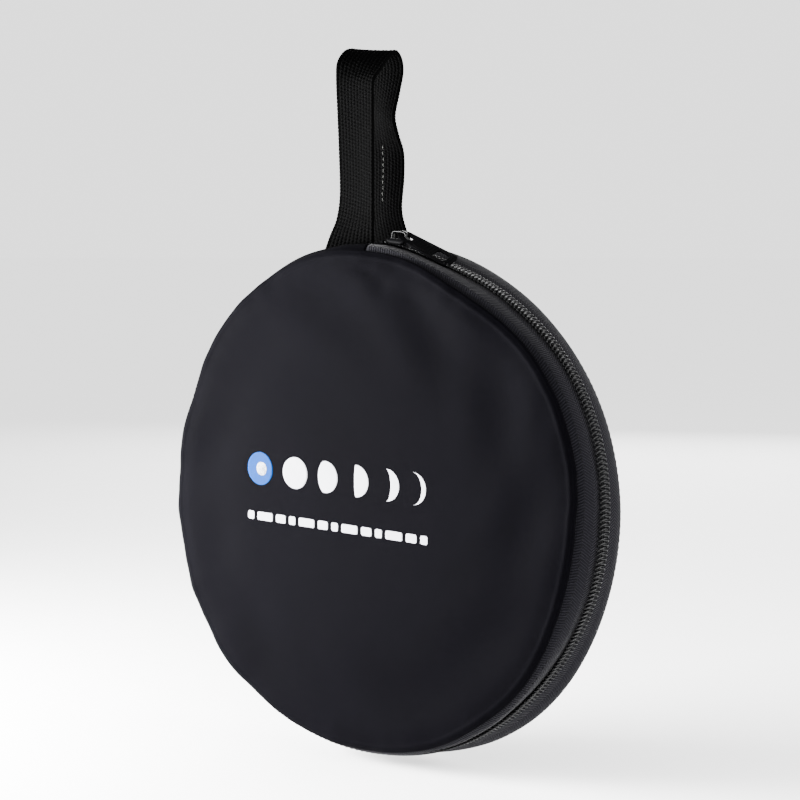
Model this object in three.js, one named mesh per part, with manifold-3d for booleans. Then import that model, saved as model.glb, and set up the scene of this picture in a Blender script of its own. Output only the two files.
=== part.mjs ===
// A collapsible reflector disc, packed: a five-in-one reflector folded into three coils
// inside its round zipped pouch, with a webbing loop on top. Millimetres, +Z up.
// The front of the pouch faces -Y. The origin is the inside of the loop's top, where a
// hook or a hand holds it, and the pouch hangs below.
import * as THREE from 'three';
import Module from 'manifold-3d';
import { mergeVertices } from 'three/addons/utils/BufferGeometryUtils.js';

const wasm = await Module();
wasm.setup();

// ---- Driving dimensions ----
const RIM_RADIUS = 116.8; // outside of the zip tape at the middle of the pouch's thickness
const RIM_CROWN = 0.00157; // how fast the rim falls away to the front and rear seams
const HALF_THICKNESS = 19.4; // from the middle to the face of either panel
const SEAM_Y = 15.6; // the seams between the panels and the rim
const SEAM_RADIUS = 110.5;
const CLOTH = 0.8; // tape and gusset
const PANEL_CLOTH = 1.0; // nylon with its lining
const GAP = 0.3; // between pieces that are sewn or pressed together

// The zip runs clockwise, as seen from the front, round all of the rim but the hinge gusset.
const TAPE_FROM = 0.2;
const TAPE_TO = 309.8;
const COIL_FROM = 2.2;
const COIL_TO = 308;
const CHAIN_Y = -3;
const CHAIN_GAP = 1.6; // the slider's post passes through it
const COIL_WIDTH = 2.6;
const COIL_HEIGHT = 1.65;
const SLIDER_AT = 5.4;

// The webbing loop
const WEBBING_WIDTH = 20;
const WEBBING = 1.6;
const LOOP_X = -9.4; // from the middle of the disc
const LOOP_FOOT_Z = 116.6;
const LOOP_TOP_Z = 204;
const FRONT_LEG_Y = -8;
const REAR_LEG_Y = 10;

// The packed reflector
const HOOP_RADIUS = 105.5;
const HOOP_SWING = 3.5; // how far a turn of the hoop moves in and out
const HOOP_RISE = 8; // and to the front and rear
const HOOP_TURNS = 3;
const BAND_THICK = 0.6;
const BAND_WIDTH = 5;

const DISC_SEGMENTS = 60;
const DEG = Math.PI / 180;

// ---- Materials ----
const material = (color, roughness, metalness = 0) =>
  new THREE.MeshStandardMaterial({ color, roughness, metalness });
const panelNylon = material(0x2e2d34, 0.62);
const tapeWeave = material(0x232228, 0.8);
const webbingWeave = material(0x1b1b1d, 0.85);
const coilNylon = material(0x17171a, 0.35);
const blackMetal = material(0x1a1a1c, 0.3, 0.7);
const springSteel = material(0x8c8f94, 0.35, 0.9);
const bindingCloth = material(0x141416, 0.85);
const whiteCloth = material(0xe9e9e6, 0.7);
const silverCloth = material(0xc3c6ca, 0.3, 0.4);
const goldCloth = material(0xc79a4a, 0.35, 0.4);

// ---- Tools ----
const rimAt = (y) => RIM_RADIUS - RIM_CROWN * Math.abs(y) ** 3;

// A path round the disc's axis. place(angle) gives the radius and the y at that angle.
class RimPath extends THREE.Curve {
  constructor(fromDeg, toDeg, place) {
    super();
    this.from = fromDeg * DEG;
    this.to = toDeg * DEG;
    this.place = place;
  }

  getPoint(t, target = new THREE.Vector3()) {
    const angle = this.from + (this.to - this.from) * t;
    const [radius, y] = this.place(angle);
    return target.set(radius * Math.sin(angle), y, radius * Math.cos(angle));
  }

  // The section stays square to the disc: its second axis always points at the disc's axis.
  computeFrenetFrames(segments) {
    const frames = { tangents: [], normals: [], binormals: [] };
    for (let i = 0; i <= segments; i += 1) {
      const tangent = this.getTangentAt(i / segments);
      const inward = this.getPointAt(i / segments).setY(0).normalize().negate();
      const normal = new THREE.Vector3().crossVectors(inward, tangent).normalize();
      frames.tangents.push(tangent);
      frames.normals.push(normal);
      frames.binormals.push(new THREE.Vector3().crossVectors(tangent, normal));
    }
    return frames;
  }
}

// A shape from [outward, y] offsets about a rim path
const section = (offsets) => new THREE.Shape(offsets.map(([out, y]) => new THREE.Vector2(-y, -out)));

const alongPath = (shape, path, steps) =>
  new THREE.ExtrudeGeometry(shape, { steps, bevelEnabled: false, extrudePath: path });

// A strip whose section is given as [radius, y] points, between two angles
function rimStrip(points, fromDeg, toDeg) {
  const path = new RimPath(fromDeg, toDeg, () => [RIM_RADIUS, 0]);
  const shape = section(points.map(([radius, y]) => [radius - RIM_RADIUS, y]));
  const degreesPerStep = 5.2;
  return alongPath(shape, path, Math.max(1, Math.ceil((toDeg - fromDeg) / degreesPerStep)));
}

// The section of a cloth strip that follows the rim's crown between two y values
function crownSection(yFrom, yTo, thick, bends) {
  const ys = Array.from({ length: bends + 1 }, (_, i) => yFrom + ((yTo - yFrom) * i) / bends);
  const outer = ys.map((y) => [rimAt(y), y]);
  const inner = ys.map((y) => [rimAt(y) - thick, y]).reverse();
  return [...outer, ...inner];
}

function turned(profile, segments = DISC_SEGMENTS) {
  const points = profile.map(([radius, y]) => new THREE.Vector2(radius, y));
  return new THREE.LatheGeometry(points, segments);
}

function box(xFrom, xTo, yFrom, yTo, zFrom, zTo) {
  const geometry = new THREE.BoxGeometry(xTo - xFrom, yTo - yFrom, zTo - zFrom);
  return geometry.translate((xFrom + xTo) / 2, (yFrom + yTo) / 2, (zFrom + zTo) / 2);
}

function solid(geometry) {
  const bare = geometry.clone();
  bare.deleteAttribute('normal');
  bare.deleteAttribute('uv');
  const merged = mergeVertices(bare, 1e-4);
  return new wasm.Manifold(
    new wasm.Mesh({
      numProp: 3,
      vertProperties: new Float32Array(merged.attributes.position.array),
      triVerts: new Uint32Array(merged.index.array),
    }),
  );
}

function geometryOf(manifold) {
  const mesh = manifold.getMesh();
  const geometry = new THREE.BufferGeometry();
  geometry.setAttribute('position', new THREE.BufferAttribute(mesh.vertProperties, 3));
  geometry.setIndex(new THREE.BufferAttribute(mesh.triVerts, 1));
  geometry.computeVertexNormals();
  return geometry;
}

const joined = (pieces) => geometryOf(pieces.map(solid).reduce((whole, piece) => whole.add(piece)));
const cutBy = (piece, cutter) => geometryOf(solid(piece).subtract(solid(cutter)));

function named(name, geometry, finish) {
  const mesh = new THREE.Mesh(geometry, finish);
  mesh.name = name;
  return mesh;
}

// ---- Pouch panels ----
// A softly domed disc of cloth, flat over its middle, whose edge turns in to the seam.
// side is -1 for the front and 1 for the rear.
function panel(side) {
  const flat = 46;
  const lip = SEAM_RADIUS - PANEL_CLOTH;
  const outer = [
    [0, HALF_THICKNESS],
    [flat, HALF_THICKNESS],
    [78, HALF_THICKNESS - 0.5],
    [98, HALF_THICKNESS - 1.8],
    [107, HALF_THICKNESS - 3],
    [SEAM_RADIUS, SEAM_Y],
  ];
  const inner = [
    [lip, SEAM_Y],
    [106.6, HALF_THICKNESS - 4],
    [97.8, HALF_THICKNESS - 1.8 - PANEL_CLOTH],
    [78, HALF_THICKNESS - 0.5 - PANEL_CLOTH],
    [flat, HALF_THICKNESS - PANEL_CLOTH],
    [0, HALF_THICKNESS - PANEL_CLOTH],
  ];
  const profile = [...outer, ...inner].map(([radius, y]) => [radius, side * y]);
  return turned(side < 0 ? profile : profile.reverse());
}

// The tape that covers the raw edges, just inside each seam
function seamBinding(side) {
  const near = side * 12.8;
  const far = side * 15;
  const outer = 110;
  const inner = 108.2;
  const ring = [[outer, near], [outer, far], [inner, far], [inner, near], [outer, near]];
  return turned(side < 0 ? ring.reverse() : ring);
}

// ---- Zip ----
const chainEdge = CHAIN_GAP / 2;

function zipTape(side) {
  const seam = side * (SEAM_Y - GAP - 0.1);
  const chain = CHAIN_Y + side * chainEdge;
  const bends = side < 0 ? 5 : 7;
  return rimStrip(crownSection(seam, chain, CLOTH, bends), TAPE_FROM, TAPE_TO);
}

function coilSection(side) {
  const near = CHAIN_Y + side * chainEdge;
  const far = near + side * COIL_WIDTH;
  const foot = RIM_RADIUS + GAP - 0.05;
  return [
    [foot, near],
    [foot + COIL_HEIGHT, near],
    [foot + COIL_HEIGHT, far],
    [foot, far],
  ];
}

const zipCoil = (side) => rimStrip(coilSection(side), COIL_FROM, COIL_TO);
const zipStop = (fromDeg) => rimStrip(coilSection(1), fromDeg, fromDeg + 0.8);

// ---- Hinge gusset and what the loop is sewn to ----
const GUSSET_FROM = TAPE_TO - 360 + 0.3;
const GUSSET_TO = TAPE_FROM - 0.3;
const gussetEdge = SEAM_Y - GAP - 0.2;

const hingeGusset = () =>
  rimStrip(crownSection(-gussetEdge, gussetEdge, CLOTH, 10), GUSSET_FROM, GUSSET_TO);

const TAIL_FROM = -9.6;
const TAIL_TO = -0.4;
const handleTail = (yFrom, yTo) =>
  rimStrip([[114.6, yFrom], [114.6, yTo], [113.6, yTo], [113.6, yFrom]], TAIL_FROM, TAIL_TO);
const handlePatch = () =>
  rimStrip([[113.2, -8.5], [113.2, 8.5], [112.2, 8.5], [112.2, -8.5]], TAIL_FROM - 1.5, TAIL_TO);

// ---- Webbing loop ----
// One strap up from the front leg's foot, over a round top and down to the rear leg's foot
function webbingLoop() {
  const middle = (FRONT_LEG_Y + REAR_LEG_Y) / 2;
  const outer = (REAR_LEG_Y - FRONT_LEG_Y + WEBBING) / 2;
  const top = LOOP_TOP_Z - outer;
  const shape = new THREE.Shape();
  shape.moveTo(middle - outer, LOOP_FOOT_Z);
  shape.lineTo(middle - outer, top);
  shape.absarc(middle, top, outer, Math.PI, 0, true);
  shape.lineTo(middle + outer, LOOP_FOOT_Z);
  shape.lineTo(middle + outer - WEBBING, LOOP_FOOT_Z);
  shape.lineTo(middle + outer - WEBBING, top);
  shape.absarc(middle, top, outer - WEBBING, 0, Math.PI, false);
  shape.lineTo(middle - outer + WEBBING, LOOP_FOOT_Z);
  shape.closePath();
  const flat = new THREE.ExtrudeGeometry(shape, {
    depth: WEBBING_WIDTH,
    bevelEnabled: false,
    curveSegments: 12,
  });
  // The shape's own x and y are the disc's y and z, and its depth runs along x.
  flat.applyMatrix4(new THREE.Matrix4().makeBasis(
    new THREE.Vector3(0, 1, 0),
    new THREE.Vector3(0, 0, 1),
    new THREE.Vector3(1, 0, 0),
  ));
  return flat.translate(LOOP_X - WEBBING_WIDTH / 2, 0, 0);
}

// ---- Slider, in its own place: x along the chain, z outward from the disc's axis ----
const PLATE_FROM = 118.98;
const PLATE_TO = 119.8;

function sliderBody() {
  const half = 4.3;
  const topPlate = box(-5.5, 5.5, CHAIN_Y - half, CHAIN_Y + half, PLATE_FROM, PLATE_TO);
  const post = box(-3.6, 0.8, CHAIN_Y - 0.45, CHAIN_Y + 0.45, 113.8, PLATE_FROM + 0.2);
  const bottomPlate = box(-5, 5, CHAIN_Y - 0.45, CHAIN_Y + half, 113.4, 114.4);
  const flange = box(-5.5, 5.5, CHAIN_Y + half - 0.6, CHAIN_Y + half, 117.6, PLATE_FROM + 0.2);
  return joined([topPlate, post, bottomPlate, flange]);
}

// The arch that the pull tab hangs from
function sliderCrown() {
  const foot = PLATE_TO + GAP;
  const arch = new THREE.Shape();
  arch.moveTo(-4.4, foot);
  arch.lineTo(-4.4, 122.3);
  arch.quadraticCurveTo(-4.4, 123.7, -2.8, 123.7);
  arch.lineTo(2.2, 123.7);
  arch.quadraticCurveTo(3.8, 123.7, 3.8, 122.3);
  arch.lineTo(3.8, foot);
  arch.lineTo(2.7, foot);
  arch.lineTo(2.7, 122.45);
  arch.lineTo(-3.2, 122.45);
  arch.lineTo(-3.2, foot);
  arch.closePath();
  const width = 2.2;
  const geometry = new THREE.ExtrudeGeometry(arch, {
    depth: width,
    bevelEnabled: false,
    curveSegments: 5,
  });
  // The arch is drawn in x and z, and its depth runs back along -y.
  return joined([geometry.rotateX(Math.PI / 2).translate(0, CHAIN_Y + width / 2, 0), crownSill(foot)]);
}

// The thin sill that ties the feet of the arch together
const crownSill = (foot) => box(-4.4, 3.8, CHAIN_Y - 1.1, CHAIN_Y + 1.1, foot - 0.1, foot + 0.25);

// The pull tab lies along x from its pivot, with an eye for the crown and an open end
const PULL_LENGTH = 27;
const PULL_THICK = 1.2;

function rectanglePath(xFrom, xTo, half) {
  const path = new THREE.Path();
  path.moveTo(xFrom, -half);
  path.lineTo(xTo, -half);
  path.lineTo(xTo, half);
  path.lineTo(xFrom, half);
  path.closePath();
  return path;
}

function pullTab() {
  const near = 3;
  const far = 3.9;
  const tab = new THREE.Shape();
  tab.moveTo(-0.6, -near);
  tab.lineTo(PULL_LENGTH - 1.8, -far);
  tab.quadraticCurveTo(PULL_LENGTH, -far, PULL_LENGTH, -far + 1.8);
  tab.lineTo(PULL_LENGTH, far - 1.8);
  tab.quadraticCurveTo(PULL_LENGTH, far, PULL_LENGTH - 1.8, far);
  tab.lineTo(-0.6, near);
  tab.closePath();
  tab.holes.push(rectanglePath(0.6, 5.8, 1.5));
  tab.holes.push(rectanglePath(17, 24.6, 2.5));
  const geometry = new THREE.ExtrudeGeometry(tab, {
    depth: PULL_THICK,
    bevelEnabled: false,
    curveSegments: 5,
  });
  return geometry.translate(0, 0, -PULL_THICK / 2);
}

// ---- Packed reflector ----
// The sprung hoop is wound on itself three times. Each turn starts a third of the way
// round a small ellipse from the last, so the three turns lie side by side and close up.
function hoopPlace(angle) {
  const phase = (angle - Math.PI) / HOOP_TURNS;
  return [HOOP_RADIUS + HOOP_SWING * Math.sin(phase), HOOP_RISE * Math.cos(phase)];
}

const HOOP_START = 180; // the ends meet at the bottom
const STEPS_PER_TURN = 48;

function rectangle(halfOut, halfY) {
  return [[-halfOut, -halfY], [halfOut, -halfY], [halfOut, halfY], [-halfOut, halfY]];
}

function springHoop() {
  const endGap = 0.2;
  const path = new RimPath(HOOP_START + endGap, HOOP_START + 360 * HOOP_TURNS - endGap, hoopPlace);
  path.arcLengthDivisions = 900;
  return alongPath(section(rectangle(BAND_THICK / 2, BAND_WIDTH / 2)), path, STEPS_PER_TURN * HOOP_TURNS);
}

function hoopFerrule() {
  const reach = 3.8;
  const place = () => [HOOP_RADIUS - 0.1, HOOP_RISE];
  const sleeve = new RimPath(HOOP_START - reach, HOOP_START + reach, place);
  const bore = new RimPath(HOOP_START - reach - 1, HOOP_START + reach + 1, place);
  return cutBy(
    alongPath(section(rectangle(1.15, BAND_WIDTH / 2 + 0.75)), sleeve, 4),
    alongPath(section(rectangle(0.72, BAND_WIDTH / 2 + 0.35)), bore, 4),
  );
}

// Binding tape folded over the hoop and open towards the cloth
function hoopBinding() {
  const start = HOOP_START + 22.5;
  const path = new RimPath(start, start + 360 * HOOP_TURNS - 0.5, hoopPlace);
  path.arcLengthDivisions = 900;
  const fold = section([
    [-2, -4.4], [2, -4.4], [2, 4.4], [-2, 4.4],
    [-2, 3.7], [1.35, 3.7], [1.35, -3.7], [-2, -3.7],
  ]);
  return alongPath(fold, path, STEPS_PER_TURN * HOOP_TURNS);
}

// Folded cloth: a round pillow, flat where it lies on the next and bulging on its other side.
// side is -1 towards the front of the pouch and 1 towards the rear.
const CLOTH_STACK_SEGMENTS = 48;
const coverReach = HALF_THICKNESS - 4;

function diffuserCloth() {
  const radius = 98.6;
  const half = 2.6;
  const profile = [
    [0, -half], [radius - 4, -half], [radius, -half + 1.4],
    [radius, half - 1.4], [radius - 4, half], [0, half],
  ];
  return turned(profile, CLOTH_STACK_SEGMENTS);
}

function coverCloth(side) {
  const profile = [
    [0, 3.1], [94, 3.1], [97.8, 4.5], [97.8, 9], [93, 11.8],
    [80, coverReach - 1.8], [55, coverReach - 0.4], [30, coverReach], [0, coverReach],
  ].map(([radius, y]) => [radius, side * y]);
  return turned(side < 0 ? profile.reverse() : profile, CLOTH_STACK_SEGMENTS);
}

// ---- Assembly ----
function slider() {
  const group = new THREE.Group();
  group.rotation.y = SLIDER_AT * DEG;
  const pull = named('pull_tab', pullTab(), blackMetal);
  const restTilt = 10.4 * DEG;
  pull.position.set(1.6, CHAIN_Y, 121.35);
  pull.rotation.y = restTilt;
  group.add(named('slider_body', sliderBody(), blackMetal));
  group.add(named('slider_crown', sliderCrown(), blackMetal));
  group.add(pull);
  return group;
}

function reflector() {
  const group = new THREE.Group();
  group.add(named('spring_hoop', springHoop(), springSteel));
  group.add(named('hoop_ferrule', hoopFerrule(), springSteel));
  group.add(named('hoop_binding', hoopBinding(), bindingCloth));
  group.add(named('diffuser_cloth', diffuserCloth(), whiteCloth));
  group.add(named('cover_silver_cloth', coverCloth(-1), silverCloth));
  group.add(named('cover_gold_cloth', coverCloth(1), goldCloth));
  return group;
}

function pouch() {
  const group = new THREE.Group();
  group.add(named('front_panel', panel(-1), panelNylon));
  group.add(named('front_zip_tape', zipTape(-1), tapeWeave));
  group.add(named('front_zip_coil', zipCoil(-1), coilNylon));
  group.add(named('front_seam_binding', seamBinding(-1), bindingCloth));
  group.add(named('rear_panel', panel(1), panelNylon));
  group.add(named('rear_zip_tape', zipTape(1), tapeWeave));
  group.add(named('rear_zip_coil', zipCoil(1), coilNylon));
  group.add(named('rear_seam_binding', seamBinding(1), bindingCloth));
  group.add(named('hinge_gusset', hingeGusset(), panelNylon));
  group.add(named('zip_start_stop', zipStop(COIL_FROM - 1.2), blackMetal));
  group.add(named('zip_end_stop', zipStop(COIL_TO + 0.4), blackMetal));
  group.add(named('handle_tail_front', handleTail(-8.5, -3.5), webbingWeave));
  group.add(named('handle_tail_rear', handleTail(3.5, 8.5), webbingWeave));
  group.add(named('handle_patch', handlePatch(), panelNylon));
  group.add(named('handle_webbing', webbingLoop(), webbingWeave));
  return group;
}

const reflectorDisc = new THREE.Group();
reflectorDisc.add(pouch(), reflector(), slider());
reflectorDisc.position.set(-LOOP_X, -(FRONT_LEG_Y + REAR_LEG_Y) / 2, -(LOOP_TOP_Z - WEBBING));

export default reflectorDisc;
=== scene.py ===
"""A packed collapsible reflector disc: soft goods, zip and webbing round the fixed CAD frame.

Lengths called "mm" are millimetres from the middle of the disc: x to the right, y to the
rear and z up, as seen from the front. Angles called psi run clockwise from the top.
"""
import math

import bmesh
import bpy
import numpy as np
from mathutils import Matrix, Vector


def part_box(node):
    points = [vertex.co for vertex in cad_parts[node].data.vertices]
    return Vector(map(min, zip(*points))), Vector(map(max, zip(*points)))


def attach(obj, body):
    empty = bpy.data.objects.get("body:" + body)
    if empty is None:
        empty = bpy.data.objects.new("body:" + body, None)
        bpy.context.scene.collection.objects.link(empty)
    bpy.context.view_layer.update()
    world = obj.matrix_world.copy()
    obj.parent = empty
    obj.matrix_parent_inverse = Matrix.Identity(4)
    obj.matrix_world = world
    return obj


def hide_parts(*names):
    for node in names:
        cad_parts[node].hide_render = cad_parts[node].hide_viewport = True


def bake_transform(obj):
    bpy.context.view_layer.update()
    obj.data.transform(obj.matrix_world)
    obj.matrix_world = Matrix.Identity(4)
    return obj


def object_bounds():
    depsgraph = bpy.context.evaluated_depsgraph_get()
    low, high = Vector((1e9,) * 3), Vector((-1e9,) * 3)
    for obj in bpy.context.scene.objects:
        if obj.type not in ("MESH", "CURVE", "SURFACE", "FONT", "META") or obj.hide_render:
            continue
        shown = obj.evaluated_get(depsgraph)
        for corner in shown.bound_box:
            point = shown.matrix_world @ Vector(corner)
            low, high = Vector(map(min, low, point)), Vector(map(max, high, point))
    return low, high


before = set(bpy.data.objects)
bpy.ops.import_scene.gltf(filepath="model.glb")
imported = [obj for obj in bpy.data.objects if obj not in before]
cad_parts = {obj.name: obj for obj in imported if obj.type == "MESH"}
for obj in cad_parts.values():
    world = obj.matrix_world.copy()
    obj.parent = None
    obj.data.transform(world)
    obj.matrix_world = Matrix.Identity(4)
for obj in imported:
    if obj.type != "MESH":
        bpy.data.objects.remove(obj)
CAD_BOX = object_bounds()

MM = 0.001

# ------ places from the frame
front_lo, front_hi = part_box("front_panel")
_, rear_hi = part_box("rear_panel")
CENTRE = np.array([
    (front_lo[0] + front_hi[0]) / 2,
    (front_lo[1] + rear_hi[1]) / 2,
    (front_lo[2] + front_hi[2]) / 2,
])
SEAM_RADIUS = (front_hi[0] - front_lo[0]) / 2 / MM
HALF_THICKNESS = (rear_hi[1] - front_lo[1]) / 2 / MM
SEAM_LAP = 0.4  # from the CAD tape's edge to the seam
SEAM_Y = (CENTRE[1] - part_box("front_zip_tape")[0][1]) / MM + SEAM_LAP
COIL_RADIUS = (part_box("rear_zip_coil")[1][0] - CENTRE[0]) / MM
CHAIN_Y = ((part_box("front_zip_coil")[1][1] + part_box("rear_zip_coil")[0][1]) / 2 - CENTRE[1]) / MM
COIL_STANDS = 1.9  # above the tape
RIM_RADIUS = COIL_RADIUS - COIL_STANDS  # outside of the tape
RIM_CROWN = 0.00157  # the tape's fall, mm for each cubic mm from the middle

# Where things start and end round the rim, psi in degrees
TAPE_FROM, TAPE_TO = 0.2, 309.8
COIL_FROM, COIL_TO = 2.2, 308.0
GUSSET_FROM, GUSSET_TO = -49.9, -0.1
SLIDER_AT = 5.4


def at_disc(x, y, z):
    """Millimetres from the disc's middle to metres in the frame."""
    points = np.stack(np.broadcast_arrays(x, y, z), axis=-1).astype(float)
    return CENTRE + MM * points


def at_angle(psi, radius, y):
    """Points at psi in radians and radius and y in mm, as metres in the frame."""
    return at_disc(radius * np.sin(psi), y, radius * np.cos(psi))


def full_turn(count):
    return np.linspace(0, 2 * math.pi, count, endpoint=False)


def smooth_step(x):
    """From 0 to 1 as x goes from 0 to 1, level at both ends."""
    x = np.clip(x, 0, 1)
    return x * x * (3 - 2 * x)


def around(knots, softness=4.0):
    """A smooth function of an angle in radians, through (degrees, mm) knots round the rim."""
    degrees = np.arange(0, 360, 0.5)
    at, value = np.array(sorted((d % 360, v) for d, v in knots)).T
    rough = np.interp(degrees, at, value, period=360)
    waves = np.fft.rfft(rough)
    order = np.arange(len(waves))
    even = np.fft.irfft(waves * np.exp(-((order * math.radians(softness)) ** 2) / 2), len(degrees))
    return lambda psi: np.interp(np.degrees(psi) % 360, degrees, even, period=360)


# How far the soft pouch stands out of round, mm, at its front seam, zip and rear edge
FRONT_STRAY = around([
    (-8, 1.8), (6, 0.0), (17, -2.2), (24, -3.2), (31, -3.4), (40, -1.8), (50, 0.2), (57, 1.6), (70, 2.2),
    (78, 1.5), (84, 0.2), (91, -1.1), (100, -1.5), (110, -1.4), (126, 0.0), (146, 0.3), (165, 0.5),
    (180, 0.2), (200, 0.9), (225, 3.2), (250, 2.2), (270, 0.0), (290, -0.4), (315, 2.2), (340, 2.8),
])
CHAIN_STRAY = around([
    (-48, -4.6), (-42, -5.8), (-35, -5.2), (-26, -2.8), (-16, -1.6), (0, -1.8), (6, -2.6),
    (11, -4.6), (17, -6.0), (25, -5.6), (32, -4.2), (42, -2.8), (51, -0.8), (61, 0.6), (70, 0.7),
    (80, 0.4), (92, -0.6), (105, -1.1), (118, -3.0), (128, -4.2), (137, -4.6), (148, -4.4), (165, -4.0),
    (180, -3.5), (200, -2.6), (230, -1.2), (270, 0.3), (285, -0.6), (299, -2.6), (306, -2.8),
])
REAR_STRAY = around([
    (-30, 0.0), (29, 0.0), (45, 0.7), (65, 1.8), (86, 2.1), (108, 1.8), (120, 2.6), (134, 3.6),
    (146, 3.5), (158, 2.1), (180, 0.5), (220, 1.2), (270, 1.5), (320, 0.6),
])


def rim_out(psi, y):
    """How far the rim stands out of round, mm, at psi in radians and y mm."""
    y = np.asarray(y, float)
    chain = CHAIN_STRAY(psi)
    forward = smooth_step((CHAIN_Y - y) / (SEAM_Y + CHAIN_Y)) * (FRONT_STRAY(psi) - chain)
    back = smooth_step((y - CHAIN_Y) / (SEAM_Y - 1)) * (REAR_STRAY(psi) - chain)
    return chain + forward + back


def at_rim(psi_deg, radius, y):
    """Points on the soft rim, where radius is what it would be on a round one."""
    psi = np.radians(psi_deg)
    return at_angle(psi, radius + rim_out(psi, y), y)


def rim_at(y):
    """The radius of the tape's outer face, mm, at y mm from the middle of the thickness."""
    return RIM_RADIUS - RIM_CROWN * np.abs(np.asarray(y, float)) ** 3


def wander(t, seed, waves, low, high):
    """A periodic wobble of an angle t in radians, about one unit high, low to high turns round."""
    rng = np.random.default_rng(seed)
    total = np.zeros_like(np.asarray(t, float))
    for _ in range(waves):
        n = rng.integers(low, high + 1)
        total = total + rng.normal() * np.sin(n * t + rng.uniform(0, 2 * math.pi))
    return total / math.sqrt(waves)


def hill(x, at, wide):
    """A rounded hill one unit high."""
    return np.exp(-(((x - at) / wide) ** 2))


# ------ mesh tools
def link(piece):
    bpy.context.scene.collection.objects.link(piece)
    return piece


def grid_faces(rows, columns, wrap_rows=False, wrap_columns=False):
    """Quads of a grid of points stored row by row."""
    i = np.arange(rows if wrap_rows else rows - 1)
    j = np.arange(columns if wrap_columns else columns - 1)
    i, j = (a.ravel() for a in np.meshgrid(i, j, indexing="ij"))
    down, right = (i + 1) % rows, (j + 1) % columns
    return np.stack(
        [i * columns + j, down * columns + j, down * columns + right, i * columns + right], axis=1
    )


def build(name, points, faces, material, uv=None, smooth=True):
    """A mesh object from metre points. uv gives each point's place on the cloth, in metres."""
    mesh = bpy.data.meshes.new(name)
    faces = [tuple(int(k) for k in f) for f in faces]
    mesh.from_pydata([tuple(p) for p in points], [], faces)
    if uv is not None:
        layer = mesh.uv_layers.new(name="cloth")
        loops = np.zeros(len(mesh.loops), np.int32)
        mesh.loops.foreach_get("vertex_index", loops)
        layer.data.foreach_set("uv", np.asarray(uv, np.float32)[loops].ravel())
    mesh.polygons.foreach_set("use_smooth", [smooth] * len(mesh.polygons))
    mesh.materials.append(material)
    mesh.validate()
    return link(bpy.data.objects.new(name, mesh))


def swept(name, rings, material, uv=None, closed=False):
    """A tube through rings of points, shaped (rings, points, 3), capped unless it is closed."""
    count, sides, _ = rings.shape
    faces = list(grid_faces(count, sides, wrap_rows=closed, wrap_columns=True))
    if not closed:
        faces.append(range(sides))
        faces.append(range(count * sides)[-sides:][::-1])
    piece = build(name, rings.reshape(-1, 3), faces, material, uv)
    outward(piece)
    return piece


def outward(piece):
    """Turns every face of a closed piece outwards."""
    work = bmesh.new()
    work.from_mesh(piece.data)
    bmesh.ops.recalc_face_normals(work, faces=work.faces)
    work.to_mesh(piece.data)
    work.free()


def tube(name, path, radius, material, sides=8, closed=False, squash=1.0, up=(0, 1, 0)):
    """A round wire along a path of metre points."""
    path = np.asarray(path, float)
    ahead = np.roll(path, -1, 0) - np.roll(path, 1, 0)
    if not closed:
        ahead[0], ahead[-1] = path[1] - path[0], path[-1] - path[-2]
    ahead /= np.linalg.norm(ahead, axis=1)[:, None]
    side = np.cross(ahead, np.broadcast_to(np.asarray(up, float), path.shape))
    side /= np.maximum(np.linalg.norm(side, axis=1), 1e-9)[:, None]
    over = np.cross(side, ahead)
    turn = full_turn(sides)
    radius = np.broadcast_to(np.asarray(radius, float), (len(path),))[:, None, None]
    rings = path[:, None] + radius * (
        side[:, None] * np.cos(turn)[None, :, None]
        + squash * over[:, None] * np.sin(turn)[None, :, None]
    )
    return swept(name, rings, material, closed=closed)


def through(points, count):
    """A smooth curve through control points, evenly spaced along its length."""
    points = np.asarray(points, float)
    ends = np.concatenate([[2 * points[0] - points[1]], points, [2 * points[-1] - points[-2]]])
    fine = []
    for k in range(len(points) - 1):
        a, b, c, d = ends[k : k + 4]
        t = np.linspace(0, 1, 24, endpoint=False)[:, None]
        fine.append(
            0.5 * (2 * b + (c - a) * t + (2 * a - 5 * b + 4 * c - d) * t**2
                   + (3 * b - a - 3 * c + d) * t**3)
        )
    fine = np.concatenate([*fine, points[-1:]])
    along = np.concatenate([[0], np.cumsum(np.linalg.norm(np.diff(fine, axis=0), axis=1))])
    want = np.linspace(0, along[-1], count)
    return np.stack([np.interp(want, along, fine[:, k]) for k in range(3)], axis=1), along[-1]


def merged(name, pieces):
    """Joins objects into one, keeping their materials."""
    bpy.ops.object.select_all(action="DESELECT")
    for piece in pieces:
        piece.select_set(True)
    bpy.context.view_layer.objects.active = pieces[0]
    bpy.ops.object.join()
    pieces[0].name = name
    pieces[0].data.name = name
    return pieces[0]


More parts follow.
